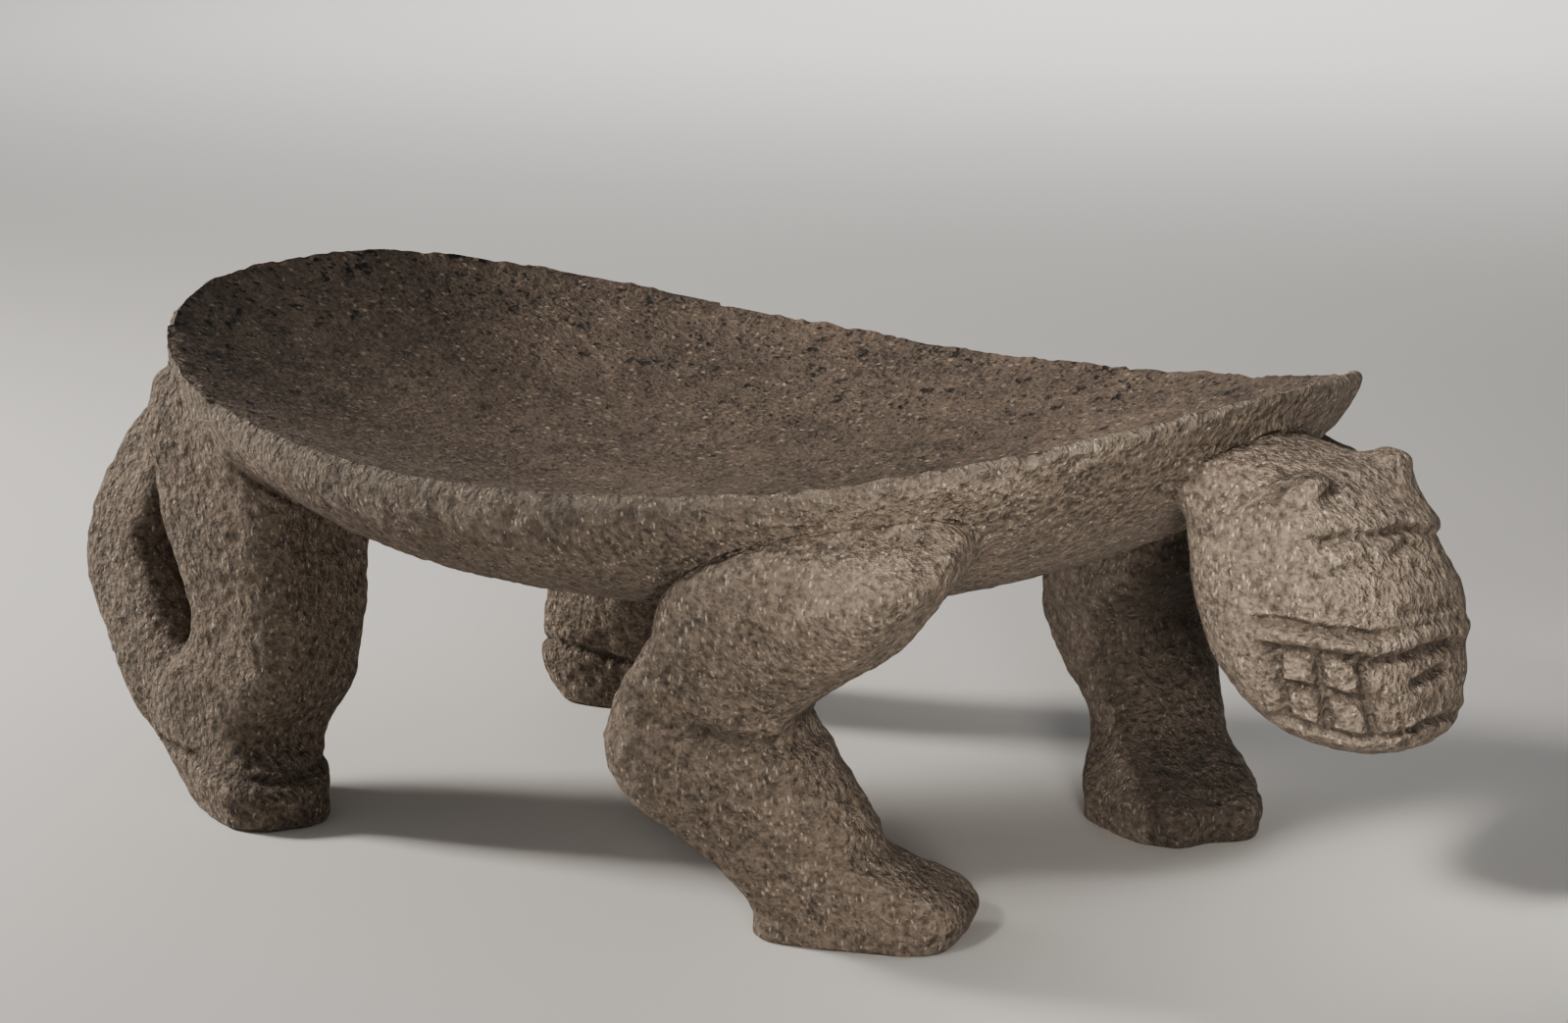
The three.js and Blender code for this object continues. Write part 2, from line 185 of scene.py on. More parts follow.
def outline_points(count):
    """Points at even spacing on |2x/L|^2.1 + |2y/W|^2.4 = 1."""
    angle = np.linspace(0.0, 2.0 * np.pi, 20001)
    c, s = np.cos(angle), np.sin(angle)
    x = np.sign(c) * np.abs(c) ** (2.0 / END_POWER) * PLATE_LENGTH / 2.0
    y = np.sign(s) * np.abs(s) ** (2.0 / SIDE_POWER) * PLATE_WIDTH / 2.0
    run = np.concatenate([[0.0], np.cumsum(np.hypot(np.diff(x), np.diff(y)))])
    wanted = np.arange(count) / count * run[-1]
    return np.stack([np.interp(wanted, run, x), np.interp(wanted, run, y)], axis=-1)


def plate_share(x, y):
    """The share r at which |2x/rL|^2.1 + |2y/rW|^2.4 = 1, by Newton's method on its logarithm."""
    a = np.abs(2.0 * x / PLATE_LENGTH) ** END_POWER + 1e-12
    b = np.abs(2.0 * y / PLATE_WIDTH) ** SIDE_POWER + 1e-12
    u = np.log(a + b) / 2.2
    for _ in range(4):
        p, q = a * np.exp(-END_POWER * u), b * np.exp(-SIDE_POWER * u)
        u = u + np.log(p + q) * (p + q) / (END_POWER * p + SIDE_POWER * q)
    return np.exp(u)


def rim_edge(x, share):
    """Thickness of the rim's upright edge: full at the sides, thin where the ends run out."""
    out = np.minimum(1.0, (2.0 * x / PLATE_LENGTH) ** 2) * np.minimum(share, 1.0) ** 12
    return RIM_EDGE * (1.0 - EDGE_THIN * out)


def hull_depth(x):
    """Depth of the underside along the middle line, growing evenly towards the front."""
    return HULL_DEPTH + HULL_FRONT_DROP * 2.0 * x / PLATE_LENGTH


def hull_slope(x):
    """Power of the underside's drop: a half at the middle, three quarters at the ends."""
    return 0.5 + 0.25 * np.minimum(1.0, (2.0 * x / PLATE_LENGTH) ** 2)


def hull_height(x, share):
    """The underside: the rim's lower edge less the depth times (1 - r^2.5)^slope."""
    drop = np.maximum(0.0, 1.0 - share ** HULL_CURVE) ** hull_slope(x)
    return rim_height(x) - rim_edge(x, share) - hull_depth(x) * drop


def dish_height(x, share):
    """The dish: the rim less the depth times 1 - r^2.2."""
    return rim_height(x) - DISH_DEPTH * (1.0 - share ** DISH_CURVE)


def hull_field(points):
    """Distance outside the underside: r^2.5 + u^(1/slope) - 1 over the length of its own slope."""
    x, y, z = np.moveaxis(points, -1, 0)
    share = plate_share(x, y)
    power = 1.0 / hull_slope(x)
    deep = np.maximum(1e-6, (rim_height(x) - rim_edge(x, share) - z) / hull_depth(x))
    value = share ** HULL_CURVE + deep ** power - 1.0
    reach = np.hypot(x, y) / share + 1e-6
    sideways = HULL_CURVE * share ** (HULL_CURVE - 1.0) / reach
    upright = power * deep ** (power - 1.0) / hull_depth(x)
    return value / (np.hypot(sideways, upright) + 1e-6)


print("stone between dish and underside", dish_height(0.0, 0.0) - hull_height(0.0, 0.0), "mm")

# %% [markdown]
# ## The members as formulas
# A leg or the head is a stack of level slices: smooth curves run through given
# stations and give each slice's middle, half-sizes and turn. The same table also
# tells how far any point lies outside the member, which the joins need.

# %% The members as formulas


def smooth_through(stations, samples):
    """Catmull-Rom: cubic steps whose slopes are half the difference of the neighbours."""
    s = np.asarray(stations, float)
    s = np.vstack([2.0 * s[0] - s[1], s, 2.0 * s[-1] - s[-2]])
    place = np.linspace(0.0, len(s) - 3.0, samples)
    i = np.minimum(place.astype(int), len(s) - 4)
    t = (place - i)[:, None]
    p0, p1, p2, p3 = s[i], s[i + 1], s[i + 2], s[i + 3]
    m1, m2 = (p2 - p0) / 2.0, (p3 - p1) / 2.0
    return ((2 * p1 - 2 * p2 + m1 + m2) * t ** 3 + (3 * p2 - 3 * p1 - 2 * m1 - m2) * t ** 2
            + m1 * t + p1)


def slice_reach(angle, along, across, power):
    """How far a slice |u/a|^n + |v/b|^n = 1 reaches in a direction."""
    c, s = np.abs(np.cos(angle)), np.abs(np.sin(angle))
    return ((c / along) ** power + (s / across) ** power) ** (-1.0 / power)


FRONT_LEG_SHARES = [
    (0.00, -0.05, 0.00, 0.37, 0.34, 0.7),
    (0.09, -0.05, 0.02, 0.41, 0.37, 0.8),
    (0.21, 0.40, 0.55, 0.35, 0.33, 1.0),
    (0.32, 0.80, 0.90, 0.37, 0.37, 1.0),
    (0.43, 1.00, 1.00, 0.355, 0.40, 0.9),
    (0.55, 0.80, 0.88, 0.38, 0.42, 0.6),
    (0.68, 0.24, 0.92, 0.45, 0.45, 0.3),
    (0.80, -0.08, 0.97, 0.49, 0.47, 0.2),
    (0.88, -0.36, 0.88, 0.43, 0.45, 0.4),
    (0.95, -0.60, 0.66, 0.31, 0.31, 0.7),
    (1.00, -0.70, 0.56, 0.15, 0.15, 1.0),
]
REAR_LEG_SHARES = [
    (0.00, 0.50, 0.24, 0.425, 0.33, 1.0),
    (0.08, -0.20, 0.30, 0.47, 0.36, 1.0),
    (0.17, -1.10, 0.69, 0.375, 0.38, 0.5),
    (0.29, 0.10, 0.85, 0.37, 0.40, 0.0),
    (0.40, 1.00, 1.00, 0.34, 0.38, 0.0),
    (0.50, 0.90, 1.00, 0.37, 0.40, 0.0),
    (0.62, 0.40, 1.00, 0.41, 0.44, 0.0),
    (0.73, -0.10, 1.23, 0.43, 0.47, 0.0),
    (0.83, -0.70, 1.38, 0.46, 0.50, 0.0),
    (0.93, -0.90, 1.77, 0.41, 0.45, 0.0),
    (1.00, -0.50, 2.38, 0.36, 0.38, 0.0),
]
HEAD_SHARES = [
    (0.00, 0.00, 0.05),
    (0.03, -0.06, 0.21),
    (0.09, 0.02, 0.34),
    (0.22, 0.16, 0.44),
    (0.37, 0.29, 0.485),
    (0.55, 0.42, 0.50),
    (0.73, 0.56, 0.473),
    (0.88, 0.78, 0.43),
    (0.95, 0.90, 0.36),
    (0.985, 0.96, 0.25),
    (1.00, 0.98, 0.09),
]
TAIL_SHARES = [
    (0.00, 0.00, 1.00),
    (0.27, 0.30, 0.99),
    (0.58, 0.62, 0.87),
    (0.84, 0.84, 0.67),
    (0.92, 0.98, 0.46),
    (0.50, 1.06, 0.26),
    (0.02, 1.12, 0.09),
    (-0.45, 1.14, 0.02),
]


def front_leg_table(side):
    """Slices up a front leg: the shares times the leg's sizes, mirrored by the side's sign."""
    up, back, out, along, across, turn = np.array(FRONT_LEG_SHARES).T
    return smooth_through(np.stack([
        FRONT_FOOT_X - ELBOW_BACK * back + side * STRIDE * (1.0 - up),
        side * (FRONT_FOOT_Y + ELBOW_OUT * out),
        FRONT_LEG_HEIGHT * up,
        FRONT_LEG_LENGTH * along,
        FRONT_LEG_WIDTH * across,
        -side * FRONT_LEG_TURN * turn,
    ], axis=-1), MEMBER_ROWS)


def rear_leg_table(side):
    """Slices up a rear leg, worked out in the same way."""
    up, ahead, inward, along, across, turn = np.array(REAR_LEG_SHARES).T
    return smooth_through(np.stack([
        REAR_FOOT_X + HOCK_AHEAD * ahead,
        side * (REAR_FOOT_Y - HOCK_IN * inward),
        REAR_LEG_HEIGHT * up,
        REAR_LEG_LENGTH * along,
        REAR_LEG_WIDTH * across,
        side * REAR_PAW_TURN * turn,
    ], axis=-1), MEMBER_ROWS)


def head_table():
    """Slices up the head on the middle line: it leans back as it rises, unturned."""
    up, lean, girth = np.array(HEAD_SHARES).T
    return smooth_through(np.stack([
        CHIN_X - HEAD_LEAN * lean,
        0.0 * up,
        CHIN_Z + HEAD_HEIGHT * up,
        HEAD_LENGTH * girth,
        HEAD_WIDTH * girth,
        0.0 * up,
    ], axis=-1), MEMBER_ROWS)


def member_field(table, power):
    """Distance outside a stack of slices: the way to the axis less the slice's reach, and
    beyond the end slices the way to the nearest point of their flat faces."""
    order = np.maximum.accumulate(table[:, 2])

    def field(points):
        z = points[..., 2]
        x0, y0, along, across, turn = (np.interp(z, order, table[:, c]) for c in (0, 1, 3, 4, 5))
        dx, dy = points[..., 0] - x0, points[..., 1] - y0
        angle = np.arctan2(dy, dx) - turn
        beyond = np.maximum(0.0, np.maximum(order[0] - z, z - order[-1]))
        radial = np.hypot(dx, dy) - slice_reach(angle, along, across, power)
        return np.where(beyond > 0.0, np.hypot(np.maximum(radial, 0.0), beyond), radial)

    return field


# %% The tail as a formula
back, aside, up = np.array(TAIL_SHARES).T
tail_path = smooth_through(np.stack([
    TAIL_START[0] - TAIL_BACK * back,
    TAIL_START[1] - TAIL_ASIDE * aside,
    TAIL_START[2] + TAIL_RISE * up,
], axis=-1), TAIL_PATH_ROWS)
tail_tangent = np.gradient(tail_path, axis=0)
tail_tangent /= np.linalg.norm(tail_tangent, axis=1, keepdims=True)
tail_wide = np.array([math.cos(math.radians(-10.0)), math.sin(math.radians(-10.0)), 0.0])
tail_wide = tail_wide - (tail_tangent @ tail_wide)[:, None] * tail_tangent
tail_wide /= np.linalg.norm(tail_wide, axis=1, keepdims=True)
tail_deep = np.cross(tail_tangent, tail_wide)
TAIL_HALF_WIDE, TAIL_HALF_DEEP = 28.0, 21.0
print("tail from", tail_path[0].round(), "to", tail_path[-1].round(), "mm")


def tail_field(points):
    """Distance outside the strap: measured in the section at the nearest place on its path."""
    flat = points.reshape(-1, 3)
    result = np.full(len(flat), 200.0)
    near = np.nonzero((flat[:, 0] < -210.0) & (flat[:, 1] < 25.0))[0]
    for part in np.array_split(near, max(1, len(near) // 4000)):
        gap = flat[part][:, None, :] - tail_path[None]
        best = np.argmin((gap * gap).sum(-1), axis=1)
        off = gap[np.arange(len(part)), best]
        wide = (off * tail_wide[best]).sum(-1)
        deep = (off * tail_deep[best]).sum(-1)
        reach = slice_reach(np.arctan2(deep, wide), TAIL_HALF_WIDE, TAIL_HALF_DEEP, TAIL_POWER)
        result[part] = np.linalg.norm(off, axis=-1) - reach
    return result.reshape(points.shape[:-1])


# %% The ears and the neck as formulas
EAR_MIDDLE = np.array([363.5, 30.5, 222.5])
EAR_HALF_SIZES = np.array([13.0, 11.5, 12.0])
NECK_SADDLE = ((326, 52, 226), (338, 38, 233), (346, 22, 237), (346, 0, 238))
SADDLE_DEPTH, SADDLE_WIDTH = 11.0, 24.0
head_stack = member_field(head_table(), HEAD_POWER)


def mirrored(points):
    """The same points with the right half of the stone laid over the left."""
    return points * [1.0, 0.0, 1.0] + np.abs(points) * [0.0, 1.0, 0.0]


def near_chain(points, chain, width):
    """A bell of the distance to a chain of points, which ends at the given width."""
    best = np.full(points.shape[:-1], 1e3)
    ends = np.array(chain, float)
    for p, d in zip(ends[:-1], np.diff(ends, axis=0)):
        t = np.clip(((points - p) @ d) / (d @ d), 0.0, 1.0)[..., None]
        best = np.minimum(best, np.linalg.norm(points - p - t * d, axis=-1))
    return bell(best / width)


def head_field(points):
    """Distance outside the head: its stack of slices, sunk by a saddle behind the ears."""
    saddle = near_chain(mirrored(points), NECK_SADDLE, SADDLE_WIDTH)
    return head_stack(points) + SADDLE_DEPTH * saddle


def ears_field(points):
    """Distance outside two boxy knobs |u|^3 + |v|^3 + |w|^3 = 1, one at each side."""
    off = mirrored(points) - EAR_MIDDLE
    size = (np.abs(off / EAR_HALF_SIZES) ** 3).sum(-1) ** (1.0 / 3.0)
    return (size - 1.0) * EAR_HALF_SIZES.min()


LEG_TABLES = {
    "front_right_leg": front_leg_table(-1),
    "front_left_leg": front_leg_table(1),
    "rear_right_leg": rear_leg_table(-1),
    "rear_left_leg": rear_leg_table(1),
}
FIELDS = {name: member_field(table, LEG_POWER) for name, table in LEG_TABLES.items()}
FIELDS.update(head=head_field, ears=ears_field, tail=tail_field, plate=hull_field)
JOIN_WIDTH = {name: 8.0 if "front" in name else 18.0 for name in LEG_TABLES}
JOIN_WIDTH.update(head=15.0, ears=7.0, tail=18.0)
print("members", sorted(FIELDS))

# %% [markdown]
# ## One stone: joins that flow
# Where a leg meets the plate, a carver leaves a hollow fillet, because the stone
# runs on. Merging meshes would give a sharp line there. Instead the distances to
# all members are mixed by a smooth minimum, whose zero surface is the whole stone
# with filleted joins, and each skin's points walk down its slope onto that surface.

# %% One stone: joins that flow
WALK_STEPS, PROBE = 7, 0.4


def whole_field(points):
    """A smooth minimum of all distances: the lesser one, less h*h*k/4 where two are near."""
    total = FIELDS["plate"](points)
    below_rim = ramp(rim_height(points[..., 0]) - points[..., 2], 1.0, 16.0)
    for name, width in JOIN_WIDTH.items():
        other = FIELDS[name](points)
        k = 0.5 + width * below_rim
        h = np.maximum(k - np.abs(total - other), 0.0) / k
        total = np.minimum(total, other) - h * h * k / 4.0
    return total


def nearest_other(points, own):
    """The least distance outside any member but the skin's own."""
    others = np.full(points.shape[:-1], 1e3)
    for name, field in FIELDS.items():
        if name not in (own, "ears"):
            others = np.minimum(others, field(points))
    return others


def settle(points, own):
    """Points near another member walk down the slope of the whole stone's distance by Newton's
    method. Where the other member is the nearer one, the skin is told to lie 1.3 mm lower."""
    others = nearest_other(points, own)
    near = np.minimum(others, ears_field(points)) if own == "head" else others
    moving = (near < 26.0) & (others > -12.0)
    start = points[moving]
    place = start.copy()
    for _ in range(WALK_STEPS):
        value = whole_field(place)
        slope = np.stack([
            whole_field(place + PROBE * axis) - value for axis in np.eye(3)
        ], axis=-1) / PROBE
        step = value / np.maximum((slope * slope).sum(-1), 0.15)
        place -= slope * np.clip(step, -5.0, 5.0)[..., None]
    share = ramp(others[moving], -11.0, -4.0)[..., None]
    result = points.copy()
    result[moving] = start + (place - start) * share
    mine = FIELDS[own](place)
    mine = np.minimum(mine, ears_field(place)) if own == "head" else mine
    lower = np.zeros(others.shape)
    lower[moving] = 1.3 * ramp(mine - nearest_other(place, own), -0.8, 5.0)
    return result, others, lower


floor_gap = float(whole_field(np.zeros((1, 3)))[0])
print("the middle of the floor lies", round(floor_gap, 1), "mm outside the stone")

# %% [markdown]
# ## From grid to mesh
# A skin is a grid of points, closed round one way. Its normals come from the
# cross product of its two directions, the hand work is laid along them, and
# from_pydata turns the grid into quads with one fan at each end.

# %% From grid to mesh


def grid_normals(grid):
    """The cross product of the steps round and up, on a grid closed round."""
    around = np.roll(grid, -1, axis=1) - np.roll(grid, 1, axis=1)
    along = np.gradient(grid, axis=0)
    normal = np.cross(around, along)
    return normal / (np.linalg.norm(normal, axis=-1, keepdims=True) + 1e-9)


def add_skin(name, grid, low_end=None, high_end=None, extra=None):
    """Quads between neighbouring rows, and a fan to each given end point."""
    rows, sides = grid.shape[:2]
    index = np.arange(rows * sides).reshape(rows, sides)
    turned = np.roll(index, -1, axis=1)
    quads = np.stack([index[:-1], turned[:-1], turned[1:], index[1:]], axis=-1).reshape(-1, 4)
    vertices = [grid.reshape(-1, 3)]
    fans = []
    for end, row, low in ((low_end, 0, True), (high_end, rows - 1, False)):
        if end is not None:
            tip = rows * sides + len(fans)
            vertices.append(np.asarray(end, float).reshape(1, 3))
            pair = (turned[row], index[row]) if low else (index[row], turned[row])
            fans.append(np.stack([pair[0], pair[1], np.full(sides, tip)], axis=-1))
    vertices = (np.vstack(vertices) + [MIDDLE_SHIFT, 0.0, 0.0]) * MM
    mesh = bpy.data.meshes.new(name)
    corners = np.concatenate([quads.ravel()] + [fan.ravel() for fan in fans])
    sizes = np.concatenate([np.full(len(quads), 4)] + [np.full(len(fan), 3) for fan in fans])
    mesh.vertices.add(len(vertices))
    mesh.vertices.foreach_set("co", vertices.astype(np.float32).ravel())
    mesh.loops.add(len(corners))
    mesh.loops.foreach_set("vertex_index", corners.astype(np.int32))
    mesh.polygons.add(len(sizes))
    mesh.polygons.foreach_set("loop_start", (np.cumsum(sizes) - sizes).astype(np.int32))
    mesh.update(calc_edges=True)
    mesh.validate()
    mesh.shade_smooth()
    for key, values in (extra or {}).items():
        layer = mesh.attributes.new(key, "FLOAT", "POINT")
        filled = np.zeros(len(vertices), np.float32)
        filled[: rows * sides] = values.ravel()
        layer.data.foreach_set("value", filled)
    piece = bpy.data.objects.new(name, mesh)
    bpy.context.scene.collection.objects.link(piece)
    print(name, len(vertices), "points", len(sizes), "faces")
    return piece


def add_closed_skin(name, grid, extra=None):
    """A skin with a fan over each end, to the middle of its end row."""
    return add_skin(name, grid, grid[0].mean(axis=0), grid[-1].mean(axis=0), extra)


# %% [markdown]
# ## The plate's skins
# One profile is carried round the outline: out along the underside, up the rough
# edge band, over the sharp rim, and in along the dish. Its points are worked out
# as one grid, and it is then parted at the rim, because the ground dish and the
# pecked underside have different finishes.

# %% The plate's skins
PLATE_SIDES = 900
UNDER_ROWS, BAND_ROWS, DISH_ROWS = 88, 20, 106
rim_outline = outline_points(PLATE_SIDES)
rim_reach = np.linalg.norm(rim_outline, axis=-1)
rim_way = rim_outline / rim_reach[:, None]

under_share = np.sin(np.linspace(0.012, 1.0, UNDER_ROWS) * np.pi / 2.0)
under_xy = under_share[:, None, None] * rim_outline[None]
under_z = hull_height(under_xy[..., 0], under_share[:, None])
under = np.concatenate([under_xy, under_z[..., None]], axis=-1)

edge = rim_edge(rim_outline[:, 0], 1.0)
edge_inset = 5.5 * (0.2 + 0.8 * edge / RIM_EDGE)
band_turn = np.linspace(0.0, 1.0, BAND_ROWS + 1)[1:, None]
band_inset = edge_inset * np.clip((band_turn - 0.3) / 0.7, 0.0, 1.0) ** 2.2
band_xy = (rim_reach - band_inset)[..., None] * rim_way[None]
band_z = rim_height(rim_outline[:, 0]) - edge + edge * band_turn
band = np.concatenate([band_xy, band_z[..., None]], axis=-1)

dish_share = np.linspace(1.0, 0.012, DISH_ROWS) ** 0.9
dish_xy = dish_share[:, None, None] * ((rim_reach - edge_inset - 0.7)[:, None] * rim_way)[None]
dish_z = dish_height(dish_xy[..., 0], dish_share[:, None])
dish = np.concatenate([dish_xy, dish_z[..., None]], axis=-1)
print("rim from", round(band_z.min(), 1), "to", round(band_z.max(), 1), "mm above the floor")

# %% The plate's hand work
whole = np.concatenate([under, band, dish], axis=0)
split = UNDER_ROWS + BAND_ROWS
whole[:split], _, lower = settle(whole[:split], "plate")
normals = grid_normals(whole)
whole[:split] -= normals[:split] * lower[..., None]
rough_share = np.ones(whole.shape[:2])
rough_share[split:] = 0.3 + 0.5 * (1.0 - ramp(1.0 - dish_share[:, None], 0.0, 0.05))
whole = whole + normals * (hand_work(whole) * rough_share)[..., None]
row = np.arange(len(whole))[:, None]
band_mask = ramp(row, UNDER_ROWS - 8, UNDER_ROWS + 2) * (1.0 - ramp(row, split, split + 2))
band_mask = np.broadcast_to(band_mask, whole.shape[:2])
nick = 0.7 * unevenness(whole, 7.5) + 0.45 * unevenness(whole, 3.6)
whole = whole + normals * (nick * band_mask)[..., None]
far_wall = ramp(whole[..., 1] - 0.18 * whole[..., 0], 60.0, 170.0)
worn = np.zeros(whole.shape[:2])
worn[split:] = ramp(1.0 - dish_share[:, None], 0.03, 0.22) * (1.0 - 0.6 * far_wall[split:])
underside = add_skin(
    "carved_underside", whole[:split], low_end=whole[0].mean(axis=0),
    extra={"band": band_mask[:split]},
)
ground_dish = add_skin(
    "ground_dish", whole[split - 1:], high_end=whole[-1].mean(axis=0),
    extra={"worn": worn[split - 1:]},
)

# %% [markdown]
# ## The legs
# Each leg is one skin of level slices. Its sole is flat, and shallow pecked
# creases part the paw from the shin and mark the fold at the elbow. They are a
# relief: a small change of the slice's reach that depends on direction and height.

# %% The legs
LEG_SIDES, LEG_ROWS = 260, 300


def slice_grid(table, power, rows, sides, relief=None):
    """Reach of each slice plus the relief, in every direction, turned and set at its middle.
    The relief may depend on the direction, the height and the slice's two half-sizes."""
    place = np.linspace(0.0, len(table) - 1.0, rows)
    columns = [np.interp(place, np.arange(len(table)), table[:, c])[:, None] for c in range(6)]
    x0, y0, z, along, across, turn = columns
    angle = np.linspace(-np.pi, np.pi, sides, endpoint=False)[None]
    reach = slice_reach(angle, along, across, power)
    if relief:
        reach = reach + relief(angle, z, along, across)
    heading = angle + turn
    return np.stack([
        x0 + reach * np.cos(heading),
        y0 + reach * np.sin(heading),
        np.broadcast_to(z, reach.shape),
    ], axis=-1)


def squarer(angle, along, across, power):
    """How much further a squarer slice of the same half-sizes reaches at its corners."""
    plain_reach = slice_reach(angle, along, across, LEG_POWER)
    return slice_reach(angle, along, across, power) - plain_reach


# %% The relief of the front legs
SHIN_FRONT = {
    -1.0: ([0, 22, 34, 44, 56, 67, 78, 88, 94, 101, 107, 113, 122, 134],
           [-3, -3, -3.5, 2, 10, 13, 15, 14.5, 13, 6, -3, -6.5, -2.5, 0]),
    1.0: ([0, 34, 48, 60, 78, 94, 107, 113, 134], [-19, -19, -18, -16, -13, -11, -12, -9, 0]),
}


def front_leg_relief(side):
    """A flat-sided thigh over a folded elbow, and a blocky paw: each line adds one form. The
    shin's front is a list of heights and offsets, and the left leg is leaner than the right."""
    def relief(angle, z, along, across):
        outward = angle * side
        forward = np.maximum(0.0, np.cos(angle))
        thigh = squarer(angle, along, across, 4.6)
        thigh = thigh * ramp(z, 96.0, 125.0) * ramp(outward, -0.5, 0.2)
        knob = 6.0 * bell((outward - 0.5) / 0.75) * bell((z - 178.0) / 36.0)
        inner = -7.0 * bell((outward + 0.6) / 0.75) * bell((z - 158.0) / 48.0)
        fold_at = 104.0 - 9.0 * np.cos(angle)
        round_here = ramp(outward, math.radians(-30), math.radians(12)) * (
            1.0 - ramp(outward, math.radians(78), math.radians(118)))
        fold = -3.6 * bell((z - fold_at - 5.0) / 7.0) * round_here
        lap = 2.4 * ramp(fold_at - z, -2.0, 4.0) * (1.0 - ramp(fold_at - z, 4.0, 40.0))
        lap = lap * round_here
        shin = np.interp(z, *SHIN_FRONT[side]) * bell((outward + 0.1) / 1.25)
        paw = squarer(angle, along, across, 4.2) * (1.0 - ramp(z, 22.0, 44.0))
        toe = 1.5 * forward * bell((z - 29.0) / 12.0) + 1.6 * (1.0 - ramp(z, 0.0, 15.0))
        instep = -2.6 * forward * bell((z - 46.0) / 10.0)
        flatter = -12.0 * forward * ramp(z, 182.0, 202.0) if side > 0 else 0.0
        return thigh + knob + inner + fold + lap + shin + paw + toe + instep + flatter
    return relief


# %% The relief of the rear legs


def rear_leg_relief(side):
    """A squarer shank, and a crease round the paw, low in front and higher at the heel."""
    def relief(angle, z, along, across):
        shank = squarer(angle, along, across, 4.4) * ramp(z, 40.0, 70.0)
        place = 31.0 - 5.0 * np.cos(angle) + 1.5 * np.sin(3.0 * angle + side)
        depth = 2.4 + 0.9 * np.sin(5.0 * angle) * np.cos(2.0 * angle + side)
        return shank - depth * bell((z - place) / 4.6) + 1.0 * bell((z - place + 8.0) / 7.0)
    return relief


# %% Settling a member on the stone


def inside_plate(grid, others):
    """Points well inside the plate keep below its dish."""
    x, y = grid[..., 0], grid[..., 1]
    share = np.minimum(plate_share(x, y), 1.0)
    top = hull_height(x, share) + 9.0
    hidden = (others < -4.0) & (plate_share(x, y) < 0.985)
    grid[..., 2] = np.where(hidden, np.minimum(grid[..., 2], top), grid[..., 2])
    return grid


def carve(plain, carved, own, work=1.0):
    """The plain skin settles on the whole stone, then the relief and the hand work go on."""
    settled, near, lower = settle(plain, own)
    share = ramp(near, -2.0, 8.0)[..., None]
    grid = inside_plate(settled + (carved - plain) * share, near)
    return grid + grid_normals(grid) * (hand_work(grid, work) - lower)[..., None]


def relief_depth(plain, carved):
    """How deep the relief lies below the plain skin, as a share of four millimetres."""
    middle = plain.mean(axis=1, keepdims=True)
    inward = np.linalg.norm((plain - middle)[..., :2], axis=-1)
    inward = inward - np.linalg.norm((carved - middle)[..., :2], axis=-1)
    return np.clip(inward / 4.0, 0.0, 1.0)


# %% The four legs
legs = []
for name, table in LEG_TABLES.items():
    side = 1.0 if "left" in name else -1.0
    relief = (front_leg_relief if "front" in name else rear_leg_relief)(side)
    plain = slice_grid(table, LEG_POWER, LEG_ROWS, LEG_SIDES)
    carved = slice_grid(table, LEG_POWER, LEG_ROWS, LEG_SIDES, relief)
    grid = carve(plain, carved, name)
    rounding = 3.0 * (1.0 - np.sqrt(1.0 - (1.0 - np.clip(grid[..., 2] / 3.0, 0.0, 1.0)) ** 2))
    centre = grid.mean(axis=1, keepdims=True)
    grid[..., :2] += (centre - grid)[..., :2] * (rounding / 45.0)[..., None]
    grid[0, :, 2] = 0.0
    # The relief's depth goes with the skin, and the finish darkens by it: painted shade in the
    # creases.
    legs.append(add_closed_skin("carved_" + name, grid, {"hollow_shade": relief_depth(plain, carved)}))

# %% [markdown]
# ## The big cat's head
# The head is a blunt wedge that swells from the chin to the brows. A carver draws
# the face on it and then cuts along the drawn lines. To lay lines on the skin, its
# points need lengths measured along it, round the head and up it, because heights
# alone would squeeze the lines together where the skin leans.

# %% Lines on the head
HEAD_SIDES, HEAD_ROWS = 400, 240
face_table = head_table()
face_climb = np.concatenate([[0.0], np.cumsum(np.hypot(
    np.diff(face_table[:, 2]), 0.5 * np.diff(face_table[:, 3] + face_table[:, 4])))])
face_climb += np.interp(150.0, face_climb, face_table[:, 2]) - 150.0
print("way up the head's skin", round(face_climb[-1] - face_climb[0], 1), "mm")


def on_skin(angle, z):
    """A direction and a height as two lengths measured along the head's skin."""
    radius = 0.5 * (np.interp(z, face_table[:, 2], face_table[:, 3])
                    + np.interp(z, face_table[:, 2], face_table[:, 4]))
    return angle * radius, np.interp(z, face_table[:, 2], face_climb)


def stroke(angle, z, points, width):
    """A bell across a line through points given as directions in degrees and heights. The
    tool wanders: value noise of up to half a millimetre is added to the distance."""
    u, v = on_skin(angle, z)
    v = np.broadcast_to(v, u.shape)
    best = np.full(u.shape, 1e3)
    wander = 0.55 * unevenness(np.stack([u, v, 0.0 * u], axis=-1), 4.5)
    ends = [np.array(on_skin(math.radians(a), h)) for a, h in points]
    for p, q in zip(ends[:-1], ends[1:]):
        d = q - p
        t = np.clip(((u - p[0]) * d[0] + (v - p[1]) * d[1]) / (d @ d), 0.0, 1.0)
        best = np.minimum(best, np.hypot(u - p[0] - t * d[0], v - p[1] - t * d[1]))
    return bell((best + wander) / width)


# %% [markdown]
# ## The big cat's face
# The face is low relief: a lip band over a grid of teeth at each side, a slit in
# front, and nose, eyes and brows above. Each feature is a raised or a sunk line,
# and a line is a smooth bell of the distance to a chain of points. The points say
# how far round from the front they lie, in degrees, and how high above the floor.
# The left half sits a little lower and shallower, as the hand left it.

